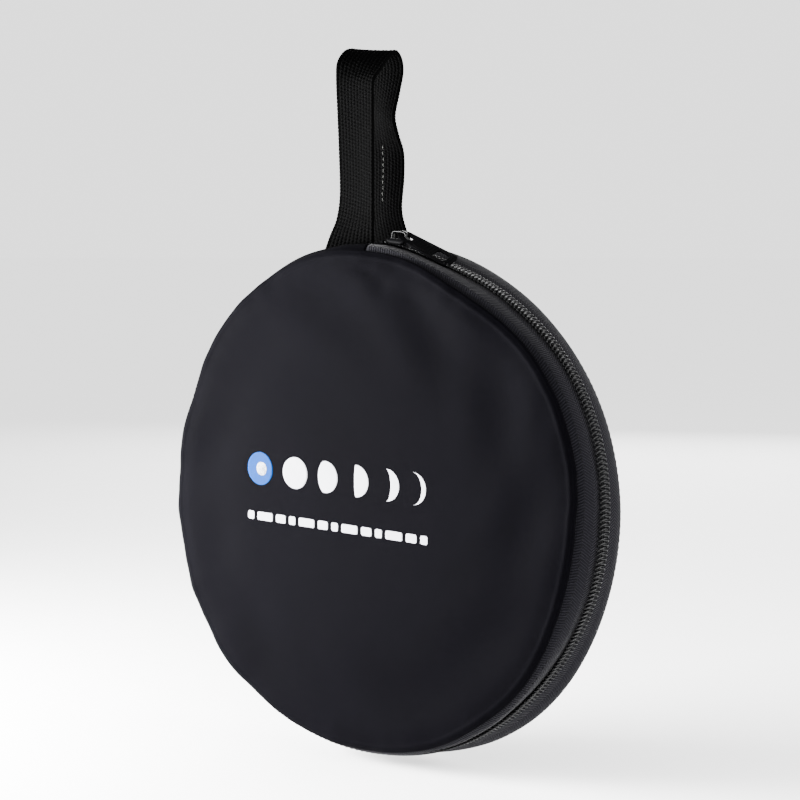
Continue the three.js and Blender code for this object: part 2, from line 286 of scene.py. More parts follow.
# ------ materials
class Nodes:
    """A material's node tree, written as sums."""

    def __init__(self, name):
        self.material = bpy.data.materials.new(name)
        self.material.use_nodes = True
        self.tree = self.material.node_tree
        self.shader = self.tree.nodes["Principled BSDF"]

    def add(self, kind, feeds, **settings):
        """A node with its settings, then its inputs by name or number."""
        node = self.tree.nodes.new(kind)
        for key, value in settings.items():
            setattr(node, key, value)
        for key, value in feeds.items():
            self.feed(node.inputs[key], value)
        return node

    def feed(self, socket, value):
        if isinstance(value, bpy.types.NodeSocket):
            self.tree.links.new(value, socket)
        else:
            socket.default_value = value

    def math(self, operation, *inputs):
        feeds = dict(enumerate(inputs))
        return self.add("ShaderNodeMath", feeds, operation=operation).outputs[0]

    def times(self, *inputs):
        """The product of two inputs, plus a third if there is one."""
        return self.math("MULTIPLY_ADD" if len(inputs) > 2 else "MULTIPLY", *inputs)

    def cloth(self):
        """The two coordinates along and across the cloth, in metres."""
        uv = self.add("ShaderNodeUVMap", {}, uv_map="cloth").outputs[0]
        split = self.add("ShaderNodeSeparateXYZ", {0: uv})
        return split.outputs[0], split.outputs[1]

    def noise(self, scale, detail, roughness):
        place = self.add("ShaderNodeTexCoord", {}).outputs["Object"]
        feeds = {"Vector": place, "Scale": scale, "Detail": detail, "Roughness": roughness}
        return self.add("ShaderNodeTexNoise", feeds).outputs["Fac"]

    def ribs(self, distance, pitch):
        """A smooth rib from 0 to 1 and back every pitch."""
        turns = self.times(distance, 2 * math.pi / pitch)
        return self.times(self.math("SINE", turns), 0.5, 0.5)

    def mix(self, share, dark, light):
        feeds = {0: share, 6: (*dark, 1), 7: (*light, 1)}
        return self.add("ShaderNodeMix", feeds, data_type="RGBA").outputs[2]

    def span(self, value, low, high):
        feeds = {"Value": value, "To Min": low, "To Max": high}
        return self.add("ShaderNodeMapRange", feeds).outputs[0]

    def bump(self, height, distance, strength, normal=None):
        feeds = {"Strength": strength, "Distance": distance, "Height": height}
        if normal is not None:
            feeds["Normal"] = normal
        return self.add("ShaderNodeBump", feeds).outputs[0]

    def finish(self, colour, roughness, normal=None, **others):
        feeds = {"Base Color": colour, "Roughness": roughness}
        if normal is not None:
            feeds["Normal"] = normal
        feeds |= {name.replace("_", " "): value for name, value in others.items()}
        for name, value in feeds.items():
            self.feed(self.shader.inputs[name], value)
        return self.material


def plain_weave(name, dark, light, pitch, relief, roughness):
    """Fine woven nylon: threads over and under, with slow changes of tone and faint creases."""
    n = Nodes(name)
    along, across = n.cloth()
    warp = n.ribs(along, pitch)
    weft = n.ribs(across, pitch)
    threads = n.math("ABSOLUTE", n.math("SUBTRACT", warp, weft))
    slow = n.noise(14.0, 3.0, 0.5)
    slub = n.noise(900.0, 2.0, 0.6)
    uneven = n.times(slub, 0.55, n.times(slow, 0.35))
    tone = n.times(threads, 0.30, uneven)
    height = n.times(slub, 0.8, threads)
    creases = n.bump(n.noise(38.0, 5.0, 0.55), 0.0014, 0.35)
    return n.finish(
        n.mix(n.math("SUBTRACT", tone, 0.12), dark, light),
        n.span(slub, roughness - 0.06, roughness + 0.08),
        n.bump(height, relief, 0.6, creases),
        Sheen_Weight=0.002,
        Sheen_Roughness=0.45,
        Specular_IOR_Level=0.002,
    )


def herringbone(name, dark, light, roughness=0.72):
    """Zip tape: columns of slanting ribs that change direction."""
    n = Nodes(name)
    along, across = n.cloth()
    column = n.math("PINGPONG", across, 0.0042)
    slant = n.times(column, 0.8, along)
    ribs = n.ribs(slant, 0.0013)
    fine = n.ribs(across, 0.00042)
    slub = n.noise(1200.0, 2.0, 0.6)
    height = n.times(fine, 0.22, n.times(slub, 0.3, ribs))
    tone = n.times(ribs, 0.6, n.times(slub, 0.5))
    return n.finish(
        n.mix(tone, dark, light),
        n.span(slub, roughness - 0.05, roughness + 0.1),
        n.bump(height, 0.00026, 0.9),
        Sheen_Weight=0.04,
        Sheen_Roughness=0.4,
        Specular_IOR_Level=0.015,
    )


def yarn(name, dark, light, roughness, strand=0.0004):
    """Spun sewing thread."""
    n = Nodes(name)
    along, across = n.cloth()
    strands = n.ribs(n.times(along, 0.35, across), strand)
    fuzz = n.noise(1500.0, 3.0, 0.7)
    slow = n.noise(60.0, 3.0, 0.6)
    uneven = n.times(slow, 0.35, n.times(strands, 0.2))
    tone = n.times(fuzz, 0.5, uneven)
    return n.finish(
        n.mix(tone, dark, light),
        n.span(fuzz, roughness - 0.08, roughness + 0.12),
        n.bump(n.math("ADD", strands, fuzz), 0.00012, 0.7),
        Sheen_Weight=0.03,
        Sheen_Roughness=0.4,
        Specular_IOR_Level=0.015,
    )


# The webbing: its row's length, columns of yarn, half thickness and width, mm
WEB_ROW, WEB_COLUMNS, WEB_HALF, WEB_WIDTH = 1.6, 12, 0.62, 20


def webbing_weave_painted_shade(name, dark, light, roughness):
    """Coarse webbing with painted shade: its knuckles are painted lighter and the hollows between them
    darker.
    """
    n = Nodes(name)
    along, across = n.cloth()
    column = n.times(across, WEB_COLUMNS / (WEB_WIDTH * MM))
    lane = n.math("FLOOR", column)
    odd = n.math("MODULO", lane, 2.0)
    inside = n.math("SUBTRACT", n.math("SUBTRACT", column, lane), 0.5)
    row = n.times(odd, 0.5, n.times(along, 1 / (WEB_ROW * MM)))
    knuckle = n.math("ABSOLUTE", n.math("COSINE", n.times(row, math.pi)))
    crown = n.times(n.times(inside, inside), -3.4, 1.0)
    raised = n.times(knuckle, crown)
    strands = n.ribs(n.times(inside, 0.35, row), 0.21)
    fuzz = n.noise(1700.0, 3.0, 0.7)
    loose = n.times(fuzz, strands)
    # painted shade and highlight: the raised knuckles are painted lighter, the hollows between them darker
    tone = n.times(raised, 0.45, n.times(loose, 0.9))
    return n.finish(
        n.mix(tone, dark, light),
        n.span(fuzz, roughness - 0.1, roughness + 0.15),
        n.bump(n.math("ADD", strands, fuzz), 0.00010, 0.8),
        Specular_IOR_Level=0.004,
    )


def moulded(name, dark, light, roughness, specular, grain=900.0, relief=0.00003):
    """Hard plastic or enamelled metal with a fine grain and rubbed, uneven gloss."""
    n = Nodes(name)
    grit = n.noise(grain, 4.0, 0.6)
    rub = n.noise(120.0, 4.0, 0.65)
    return n.finish(
        n.mix(n.times(grit, 0.5, n.times(rub, 0.5)), dark, light),
        n.span(rub, roughness * 0.7, roughness * 1.5),
        n.bump(grit, relief, 0.5),
        Specular_IOR_Level=specular,
    )


NYLON = plain_weave(
    "panel_nylon", (0.0004, 0.00037, 0.00053), (0.00128, 0.0012, 0.00175),
    pitch=0.00046, relief=0.00006, roughness=0.6,
)
TAPE = herringbone("zip_tape", (0.0004, 0.0004, 0.0006), (0.0066, 0.0063, 0.0082))
BINDING = herringbone("binding_tape", (0.0006, 0.0006, 0.0008), (0.003, 0.003, 0.0034))
WEBBING = webbing_weave_painted_shade("webbing", (0.0, 0.0, 0.0), (0.0011, 0.0011, 0.00113), 0.6)
COIL = moulded("zip_coil", (0.0003, 0.0003, 0.0005), (0.0018, 0.0018, 0.0021), 0.3, 0.12)
ENAMEL = moulded("zip_metal", (0.0003, 0.0003, 0.0004), (0.0014, 0.0014, 0.0016), 0.5, 0.008)
BAIL_ENAMEL = moulded("zip_bail", (0.0004, 0.0004, 0.0005), (0.0014, 0.0014, 0.0016), 0.25, 0.07)
THREAD = yarn("thread", (0.001, 0.001, 0.0012), (0.005, 0.005, 0.0055), 0.6)
PALE_THREAD = moulded("pale_thread", (0.010, 0.010, 0.010), (0.028, 0.028, 0.026), 0.6, 0.05)
INK = {"roughness": 0.6, "specular": 0.02, "grain": 2500.0, "relief": 0.00002}
BLUE_INK = moulded("ink_blue", (0.0, 0.015, 0.08), (0.0, 0.021, 0.10), **INK)
WHITE_INK = moulded("ink_white", (0.26, 0.26, 0.28), (0.36, 0.36, 0.38), **INK)


# ------ pouch panels
DOME_FALL = 2.2  # from the middle of a panel to its seam


def dome(radius):
    """How far a panel's face stands from the middle of the thickness, mm."""
    return HALF_THICKNESS - DOME_FALL * (np.asarray(radius, float) / SEAM_RADIUS) ** 5


def seam_stray(psi, side):
    """How far a seam strays outward, mm, with the unevenness of its sewing."""
    stray = FRONT_STRAY if side < 0 else REAR_STRAY
    return stray(psi) + 0.28 * wander(psi, 16 if side < 0 else 34, 10, 8, 24)


# Hollows that the hoop and the loop's seam leave in a panel: x, z, width, height and depth in mm
DENTS = {
    -1: [
        (11, 97, 6, 5, 0.9), (2, 103, 7, 3, 0.8), (30, 91, 8, 5, 0.5), (95, 40, 5, 10, 0.6),
        (-60, 78, 14, 8, 0.5),
    ],
    1: [(-20, 92, 12, 7, 0.8), (40, -80, 20, 9, 0.6), (-70, 30, 9, 20, 0.5)],
}
# Where the hoop's ring and the hollow inside it lie, and the heights of what shapes a panel, mm
HOOP_AT, INSIDE_HOOP = 103, 86
HOOP_RING, HOOP_HOLLOW, SLACK, SHORT_PUCKER, LONG_PUCKER, FOLD = 0.4, 0.9, 0.45, 0.22, 0.25, 0.22
ROLL, GROOVE, SUNK = 0.4, 0.3, 0.3


def panel_face(radius, psi, side):
    """The stand of the cloth, mm, with its hollows, the hoop's ring and the sewing puckers."""
    seed = 11 if side < 0 else 29
    rel = radius / SEAM_RADIUS
    slack = SLACK * wander(psi, seed, 5, 1, 3) * rel**2 * (1 - rel**6)
    ring = HOOP_RING * hill(radius, HOOP_AT, 6) - HOOP_HOLLOW * hill(radius, INSIDE_HOOP, 11)
    from_edge = np.maximum(SEAM_RADIUS - radius, 0)
    near = np.exp(-from_edge / 7.5)
    short, long = wander(psi, seed + 1, 14, 22, 58), wander(psi, seed + 2, 8, 8, 20)
    pucker = near * (SHORT_PUCKER * short + LONG_PUCKER * long)
    swirl = wander(psi + 0.012 * radius, seed + 3, 7, 5, 12)
    folds = FOLD * swirl * smooth_step((rel - 0.45) / 0.4)
    rolled = ROLL * np.exp(-from_edge / 0.7) - GROOVE * hill(from_edge, 1.5, 1.1)
    x, z = radius * np.sin(psi), radius * np.cos(psi)
    dents = sum(
        deep * np.exp(-(((x - at_x) / wide) ** 2 + ((z - at_z) / tall) ** 2))
        for at_x, at_z, wide, tall, deep in DENTS[side]
    )
    return dome(radius) - dents - SUNK + slack + ring + pucker + folds - rolled


CLOTH_THICK = 0.8
LIP = ((0.6, 0.2), (0.95, 0.7), (0.9, 1.9), (-0.2, 2.1))  # the rolled edge: mm out and mm down
LIP_HANG, LIP_GAP, LIP_SLOPE, LIP_REACH = 1.9, 0.35, 0.7, 1.4  # the inner face behind it
ROUND_WITHIN = 80  # the panel is truly round up to this radius, mm


def panel(name, side, material):
    """A panel of cloth with its edge rolled in over the seam. side is -1 at the front."""
    psi = full_turn(420)
    radii = np.concatenate([
        [0.6], np.linspace(3, 90, 44), np.linspace(91.5, 106, 24), np.linspace(106.6, SEAM_RADIUS, 12)
    ])

    def ring_of(radius, out, stand):
        share = smooth_step((radius - ROUND_WITHIN) / (SEAM_RADIUS - ROUND_WITHIN))
        r = radius + seam_stray(psi, side) * share + out
        flat = np.stack([r * np.sin(psi), r * np.cos(psi)], axis=1) * MM
        return at_angle(psi, r, side * stand), flat

    lip = panel_face(SEAM_RADIUS, psi, side)
    made = [ring_of(radius, 0, panel_face(radius, psi, side)) for radius in radii]
    made += [ring_of(SEAM_RADIUS, out, lip - drop) for out, drop in LIP]
    for radius in radii[::-1]:
        inner = min(radius, SEAM_RADIUS - LIP_REACH)
        edge = lip - LIP_HANG + (SEAM_RADIUS - inner) * LIP_SLOPE
        stand = np.minimum(panel_face(inner, psi, side) - CLOTH_THICK, edge)
        made.append(ring_of(inner, -LIP_GAP if inner < radius else 0, stand))
    rings = np.array([m[0] for m in made])
    return swept(name, rings, material, uv=np.concatenate([m[1] for m in made]))


front_cloth = panel("front_cloth", -1, NYLON)
rear_cloth = panel("rear_cloth", 1, NYLON)
for piece, node, body in (
    (front_cloth, "front_panel", "front_flap"), (rear_cloth, "rear_panel", "rear_shell"),
):
    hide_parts(node)
    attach(piece, body)


# ------ rim: tapes and gusset
TAPE_THICK = 0.7
EDGE_DIP, DIP_REACH, DIP_OVER = 1.8, 2.9, 2.2  # how the strips turn down toward their seams


def rim_strip(name, y_from, y_to, psi_from, psi_to, material, seed, wave=0.12):
    """A strip of woven cloth following the rim between two y values, mm."""
    steps = int((psi_to - psi_from) / 0.75) + 2
    psi = np.linspace(psi_from, psi_to, steps)
    y = np.linspace(y_from, y_to, 19)
    across = np.linspace(0, 1, len(y))
    edge = np.minimum(across, 1 - across) * abs(y_to - y_from)
    rounding = 0.28 * np.exp(-edge / 0.35)
    rings, uvs = [], []
    for angle in psi:
        t = math.radians(angle)
        lift = wave * wander(np.array([t]), seed, 8, 4, 30)[0] * np.sin(math.pi * across)
        bed = rim_at(y) + lift - EDGE_DIP * smooth_step((np.abs(y) - SEAM_Y + DIP_REACH) / DIP_OVER)
        outer = at_rim(angle, bed - rounding, y)
        inner = at_rim(angle, bed[::-1] - TAPE_THICK + rounding[::-1], y[::-1])
        rings.append(np.concatenate([outer, inner]))
        v = np.concatenate([y, y[::-1]]) * MM
        uvs.append(np.stack([np.full_like(v, t * RIM_RADIUS * MM), v], axis=1))
    return swept(name, np.array(rings), material, uv=np.concatenate(uvs))


SEAM_TUCK = SEAM_Y - 0.2  # the strips end under the panels' lips
CHAIN_HALF = 0.12  # half the slit between the two tapes
front_tape = rim_strip("front_tape", -SEAM_TUCK, CHAIN_Y - CHAIN_HALF, TAPE_FROM, TAPE_TO, TAPE, seed=41)
rear_tape = rim_strip("rear_tape", CHAIN_Y + CHAIN_HALF, SEAM_TUCK, TAPE_FROM, TAPE_TO, TAPE, seed=43)
gusset = rim_strip("gusset_cloth", -SEAM_TUCK, SEAM_TUCK, GUSSET_FROM, GUSSET_TO, NYLON, seed=47, wave=0.25)


def twist_at_ends(piece):
    """On the real pouch the front tape's seam goes with the flap, and near the hinge its coil stays in the
    zip. Here the piece's place is only baked into its mesh, on no body.
    """
    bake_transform(piece)


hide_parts("front_zip_tape")
twist_at_ends(front_tape)
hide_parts("rear_zip_tape")
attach(rear_tape, "rear_shell")
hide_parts("hinge_gusset")


# The section of a bound edge: radius, and stand from the middle of the thickness, mm
BOUND_EDGE = ((108.6, 12.4), (108.7, 13.1), (108.4, 13.6), (107.6, 13.7), (107.0, 13.2), (107.0, 12.5))
BOUND_INSET = 0.4


def seam_tape(name, side, node, body):
    """The bound edge just inside a seam."""
    psi = full_turn(300)
    out = seam_stray(psi, side) + 0.1 * wander(psi, 61 + side, 9, 20, 60)
    section = [
        at_angle(psi, radius + out - BOUND_INSET, side * stand) for radius, stand in BOUND_EDGE
    ]
    along = np.broadcast_to(psi[:, None] * 109 * MM, (len(psi), len(section)))
    across = np.broadcast_to(np.arange(len(section))[None] * 0.8 * MM, along.shape)
    uv = np.stack([along, across], axis=2).reshape(-1, 2)
    ring = swept(name, np.stack(section, axis=1), BINDING, uv=uv, closed=True)
    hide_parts(node)
    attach(ring, body)


seam_tape("front_binding", -1, "front_seam_binding", "front_flap")
seam_tape("rear_binding", 1, "rear_seam_binding", "rear_shell")
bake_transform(gusset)


# ------ zip coils
COIL_PITCH = 2.0
WIRE = 0.36  # the radius of its wire
HEAD_LAP, TAIL_REACH = 0.55, 3.2  # past the middle of the chain, and out over the tape


def coil(name, side):
    """One side of a coil zip: a flattened spiral of nylon wire, its heads meshed mid-chain."""
    run = math.radians(COIL_TO - COIL_FROM) * RIM_RADIUS
    turns = int(run / COIL_PITCH)
    per_turn = 14
    t = np.arange(turns * per_turn + 1) / per_turn
    phase = 2 * math.pi * t
    head = CHAIN_Y - side * HEAD_LAP
    tail = CHAIN_Y + side * TAIL_REACH
    middle, reach = (head + tail) / 2, abs(tail - head) / 2
    swing = -side * np.cos(phase)
    y = middle + reach * np.sign(swing) * np.abs(swing) ** 0.8
    foot, top = RIM_RADIUS + 0.30, COIL_RADIUS - WIRE * 0.95
    radius = (foot + top) / 2 + (top - foot) / 2 * np.sin(phase)
    shift = 0.5 if side > 0 else 0.0
    psi = COIL_FROM + (t + shift - 0.16 * np.sin(phase)) * math.degrees(COIL_PITCH / RIM_RADIUS)
    girth = WIRE * MM * (1 + 0.28 * np.clip(np.cos(phase), 0, 1) ** 4)
    a = np.radians(psi)
    up = np.stack([np.sin(a), np.zeros_like(a), np.cos(a)], axis=1)
    return tube(name, at_rim(psi, radius, y), girth, COIL, sides=6, up=up)


def stitches(name, y, depth, psi_from, psi_to, length=2.2, gap=0.9, thick=0.22, slant=0.0):
    """A row of lock stitches lying on the rim: each dips into the cloth at both ends."""
    pieces, all_faces = [], []
    step = math.degrees((length + gap) / RIM_RADIUS)
    t = np.linspace(0, 1, 7)
    sides = 6
    turn = full_turn(sides)
    offset = 0
    for start in np.arange(psi_from, psi_to - step, step):
        psi = start + t * math.degrees(length / RIM_RADIUS)
        rise = np.sin(math.pi * t) ** 0.6
        path_radius = rim_at(y) - depth + (rise - 0.75) * thick * 1.2
        path_y = y + slant * (t - 0.5)
        girth = thick * (0.55 + 0.45 * rise)
        rings = np.stack([
            at_rim(psi, path_radius + girth * math.sin(a) * 0.8, path_y + girth * math.cos(a))
            for a in turn
        ], axis=1)
        faces = grid_faces(len(t), sides, wrap_columns=True) + offset
        pieces.append(rings.reshape(-1, 3))
        all_faces += list(faces)
        all_faces.append(range(offset, offset + sides))
        offset += len(t) * sides
        all_faces.append(range(offset - sides, offset)[::-1])
    points = np.concatenate(pieces)
    piece = build(name, points, all_faces, THREAD, uv=points[:, [0, 2]])
    outward(piece)
    return piece


front_coil = coil("front_coil", -1)
rear_coil = coil("rear_coil", 1)
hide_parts("front_zip_coil")
twist_at_ends(front_coil)
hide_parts("rear_zip_coil")
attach(rear_coil, "rear_shell")

COIL_ROW, SEAM_ROW = 2.1, 3.1  # the rows' distances from the chain and from the seam
COIL_STITCH = {"depth": -1.72, "length": 1.5, "gap": 0.5, "thick": 0.26, "slant": 0.3}
COIL_SPAN = {"psi_from": COIL_FROM, "psi_to": COIL_TO}
coil_thread_front = stitches("coil_thread_front", CHAIN_Y - COIL_ROW, **COIL_SPAN, **COIL_STITCH)
coil_thread_rear = stitches("coil_thread_rear", CHAIN_Y + COIL_ROW, **COIL_SPAN, **COIL_STITCH)
seam_thread_front = stitches("seam_thread_front", -SEAM_Y + SEAM_ROW, 0.05, TAPE_FROM, TAPE_TO)
seam_thread_rear = stitches("seam_thread_rear", SEAM_Y - SEAM_ROW, 0.05, TAPE_FROM, TAPE_TO)
gusset_thread = stitches("gusset_thread", SEAM_Y - SEAM_ROW, 0.05, GUSSET_FROM + 1, GUSSET_TO)
twist_at_ends(coil_thread_front)
twist_at_ends(seam_thread_front)
for piece in (coil_thread_rear, seam_thread_rear, gusset_thread):
    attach(piece, "rear_shell")


# ------ webbing loop
# The strap's two edges from the front leg to the rear leg: x, y, z in mm from the disc's middle
NEAR_EDGE = [
    (-1.0, -6.5, 115.6), (0.2, -8.0, 124), (0.6, -8.6, 135), (0.6, -8.6, 158), (0.6, -8.6, 178),
    (0.6, -8.0, 187), (0.6, -3.2, 192), (0.6, 3.0, 197.5), (0.8, 8.0, 200.6), (0.8, 12.0, 198),
    (0.8, 13.1, 192), (0.6, 10.5, 183), (0.6, 6.9, 172), (0.6, 9.5, 164), (0.8, 13.4, 156),
    (1.0, 13.4, 145), (1.0, 11.6, 131), (3.6, 11.3, 122), (8.0, 10.6, 114.6),
]
FAR_EDGE = [
    (-24.6, -12.0, 112.0), (-22.6, -10.6, 118.5), (-20.4, -8.4, 126), (-19.6, -6.9, 137),
    (-19.5, -7.6, 155), (-19.4, -9.0, 175), (-19.4, -10.0, 190), (-19.4, -9.2, 196.0),
    (-19.3, -5.2, 200.3), (-19.2, 0.0, 201.8), (-19.2, 5.0, 201.2),
    (-19.2, 9.6, 198.4), (-19.2, 12.0, 193), (-19.2, 12.5, 180), (-19.2, 11.5, 160), (-19.0, 12.0, 140),
    (-18.0, 11.6, 125), (-16.5, 10.8, 113.4),
]
WEB_STEPS = 560
WEB_RELIEF, WEB_SELVAGE, WEB_CUP = 0.40, 0.16, 0.5  # how far yarns, edges and cupping stand, mm


def webbing_relief(along, across):
    """Raised yarns of the webbing, mm: columns of knuckles, each half a row from the next."""
    column = across * WEB_COLUMNS
    lane = np.floor(np.clip(column, 0, WEB_COLUMNS - 1e-6))
    inside = column - lane - 0.5
    knuckle = np.abs(np.cos(math.pi * (along / WEB_ROW + 0.5 * (lane % 2)))) ** 0.8
    return WEB_RELIEF * knuckle * np.clip(1 - (2 * np.abs(inside)) ** 3, 0, 1)


def webbing_loop():
    """The strap between its two edges, woven in the mesh."""
    near, near_length = through(NEAR_EDGE, WEB_STEPS)
    far, far_length = through(FAR_EDGE, WEB_STEPS)
    length = (near_length + far_length) / 2
    across = np.linspace(0, 1, 61)
    middle = far[:, None] * (1 - across)[None, :, None] + near[:, None] * across[None, :, None]
    along = np.linspace(0, length, WEB_STEPS)
    cup = WEB_CUP * np.sin(math.pi * across)[None] * (1 + 0.4 * np.sin(along / 21.0))[:, None]
    du = np.gradient(middle, axis=0)
    dv = np.gradient(middle, axis=1)
    normal = np.cross(du, dv)
    normal /= np.linalg.norm(normal, axis=2)[:, :, None]
    relief = webbing_relief(along[:, None], across[None, :])
    from_edge = np.minimum(across, 1 - across)
    selvage = WEB_SELVAGE * hill(from_edge * WEB_WIDTH, 0.5, 0.45)[None]
    edge = np.clip(from_edge / 0.03, 0, 1) ** 0.5
    half = (WEB_HALF * (0.35 + 0.65 * edge))[None, :]
    outer = middle + normal * (half + relief + selvage + cup)[:, :, None]
    inner = middle - normal * (half + np.roll(relief, 2, axis=0) + selvage - cup)[:, :, None]
    rings = np.concatenate([outer, inner[:, ::-1]], axis=1)
    uv_across = np.concatenate([across, across[::-1]]) * WEB_WIDTH * MM
    uv = np.stack(np.broadcast_arrays(along[:, None] * MM, uv_across[None]), axis=2).reshape(-1, 2)
    return swept("handle_strap", at_disc(*np.moveaxis(rings, 2, 0)), WEBBING, uv=uv)


handle = webbing_loop()
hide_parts("handle_webbing")


STITCH_FROM, STITCH_TO, STITCH_STEP, STITCH_LONG = 134.5, 158, 2.6, 1.5
STITCH_X, STITCH_PROUD, STITCH_RADIUS = -9.0, 1.35, 0.24


def loop_stitches():
    """The row of stitches up the middle of the rear leg, on the side that faces forward."""
    parts = []
    far, near = through(FAR_EDGE, WEB_STEPS)[0], through(NEAR_EDGE, WEB_STEPS)[0]
    middle = (far[60:-1] + near[60:-1]) / 2
    rear = middle[middle[:, 1] > 6]
    drop = rear[(rear[:, 2] < 160) & (rear[:, 2] > 122)]
    drop = drop[np.argsort(drop[:, 2])]
    bow = 0.35 * np.sin(math.pi * np.linspace(0, 1, 6))
    for start in np.arange(STITCH_FROM, STITCH_TO, STITCH_STEP):
        z = start + np.linspace(0, STITCH_LONG, 6)
        y = np.interp(z, drop[:, 2], drop[:, 1]) - STITCH_PROUD
        path = at_disc(STITCH_X + 0.12 * np.sin(start), y - bow, z)
        parts.append(tube("stitch", path, STITCH_RADIUS * MM, PALE_THREAD, sides=6, up=(0, 1, 0.01)))
    return merged("handle_stitches", parts)


handle_stitches = loop_stitches()
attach(handle_stitches, "handle")
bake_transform(handle)


# ------ slider, bail and pull
SLIDER_PSI = math.radians(SLIDER_AT)
CHAIN_WAY = np.array([math.cos(SLIDER_PSI), 0, -math.sin(SLIDER_PSI)])
RIM_WAY = np.array([math.sin(SLIDER_PSI), 0, math.cos(SLIDER_PSI)])
SLIDER_DROP = 2.0  # the soft rim lies this far inside the CAD slider
PLATE_TOP = (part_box("slider_body")[1][2] - CENTRE[2]) / MM - 0.3 - SLIDER_DROP


def at_slider(x, y, z):
    """From x along the chain, y to the rear and z out from the disc's axis, mm, to metres."""
    x, y, z = (np.asarray(a, float)[..., None] for a in np.broadcast_arrays(x, y, z))
    return CENTRE + MM * (x * CHAIN_WAY + y * np.array([0, 1, 0]) + z * RIM_WAY)


SLIDER_HALF = 5.9  # half its length
BAIL_WIRE = 0.56


def slider_shell():
    """The cast slider: a waisted plate, crowned along its middle, with curled flanges."""
    x = np.concatenate([[-SLIDER_HALF], np.linspace(-5.7, 5.7, 40), [SLIDER_HALF]])
    mouth = smooth_step((x + 5) / 9)
    width = 3.3 + 1.0 * mouth - 1.5 * np.clip((np.abs(x) - 4.2) / 1.7, 0, 1) ** 3
    outline = [
        (-1.0, -2.3), (-1.06, -1.2), (-1.0, -0.35), (-0.88, 0.0), (-0.5, 0.16), (0, 0.26), (0.5, 0.16),
        (0.88, 0.0), (1.0, -0.35), (1.06, -1.2), (1.0, -2.3), (0.84, -2.35), (0.86, -1.2), (0.8, -0.75),
        (0, -0.62), (-0.8, -0.75), (-0.86, -1.2), (-0.84, -2.35),
    ]
    across, down = np.array(outline).T
    fade = 0.25 + 0.75 * (1 - np.clip((np.abs(x[:, None]) - 3.4) / 2.4, 0, 1))
    flange = np.where(down < -1, fade, 1)
    rings = at_slider(x[:, None], CHAIN_Y + width[:, None] * across, PLATE_TOP + down * flange)
    return swept("slider_shell", rings, ENAMEL)


def slider_bail():
    """The arch that the pull hangs from, with its sill."""
    foot = PLATE_TOP + 0.1
    route = [
        (-4.0, foot - 0.5), (-4.0, foot + 1.2), (-3.9, foot + 2.4), (-3.0, foot + 3.15), (-0.3, foot + 3.35),
        (2.4, foot + 3.15), (3.3, foot + 2.4), (3.4, foot + 1.2), (3.4, foot - 0.5),
    ]
    path, _ = through([(x, 0, z) for x, z in route], 70)
    points = at_slider(path[:, 0], CHAIN_Y, path[:, 2])
    arch = tube("slider_bail", points, BAIL_WIRE * MM, BAIL_ENAMEL, sides=12, squash=1.85)
    sill_x = np.linspace(-4.4, 3.8, 12)
    lip = 0.9 - 0.5 * (np.abs(np.linspace(-1, 1, 12)) > 0.95)
    turn = full_turn(12)
    sill = swept("sill", at_slider(
        sill_x[:, None], CHAIN_Y + lip[:, None] * np.cos(turn), foot + 0.12 + 0.32 * np.sin(turn)
    ), BAIL_ENAMEL)
    return merged("slider_bail", [arch, sill])


PULL_PIVOT = (1.6, PLATE_TOP + 1.85)
PULL_TILT = math.radians(18.5)
PULL_ROLL = math.radians(30.0)
# Rounded boxes: from, to, half width at each end, and corner, mm
PULL_OUTLINE = (-0.6, 29, 3.1, 4.1, 1.7)
PULL_EYE = (0.6, 5.8, 1.5, 1.5, 0.8)
PULL_WINDOW = (18.6, 26.4, 2.5, 2.6, 1.5)
PULL_THICK, PULL_BEVEL = 1.2, 0.3
SQUARENESS = 0.45  # of the raised borders: 1 is an ellipse, 0 a box


def outline_curve(name, outlines, thick, bevel):
    """A flat plate with rounded edges from an outer outline and its windows."""
    curve = bpy.data.curves.new(name, "CURVE")
    curve.dimensions = "2D"
    curve.fill_mode = "BOTH"
    curve.extrude = (thick / 2 - bevel) * MM
    curve.bevel_depth = bevel * MM
    curve.bevel_resolution = 3
    for outline in outlines:
        spline = curve.splines.new("POLY")
        spline.points.add(len(outline) - 1)
        for point, (x, y) in zip(spline.points, outline):
            point.co = (x * MM, y * MM, 0, 1)
        spline.use_cyclic_u = True
    drawn = link(bpy.data.objects.new(name, curve))
    bpy.context.view_layer.update()
    graph = bpy.context.evaluated_depsgraph_get()
    mesh = bpy.data.meshes.new_from_object(drawn.evaluated_get(graph))
    bpy.data.objects.remove(drawn)
    points = np.zeros(len(mesh.vertices) * 3)
    mesh.vertices.foreach_get("co", points)
    faces = [tuple(f.vertices) for f in mesh.polygons]
    bpy.data.meshes.remove(mesh)
    return points.reshape(-1, 3) / MM, faces


def rounded_box(x_from, x_to, half_from, half_to, corner, steps=6):
    """A tapering rounded rectangle as a list of (x, y), starting at its near lower corner."""
    points = []
    for cx, half, sy, start in (
        (x_to - corner, half_to, -1, -90), (x_to - corner, half_to, 1, 0),
        (x_from + corner, half_from, 1, 90), (x_from + corner, half_from, -1, 180),
    ):
        for k in range(steps + 1):
            a = math.radians(start + 90 * k / steps)
            points.append((cx + corner * math.cos(a), sy * (half - corner) + corner * math.sin(a)))
    return points


def at_pull(x, y, z):
    """From x along the pull, y to the rear and z out of its face, mm, to metres."""
    lean, rise = math.cos(PULL_TILT), math.sin(PULL_TILT)
    back = y * math.cos(PULL_ROLL) - z * math.sin(PULL_ROLL)
    out = y * math.sin(PULL_ROLL) + z * math.cos(PULL_ROLL)
    return at_slider(
        PULL_PIVOT[0] + x * lean + out * rise, CHAIN_Y + back, PULL_PIVOT[1] - x * rise + out * lean
    )


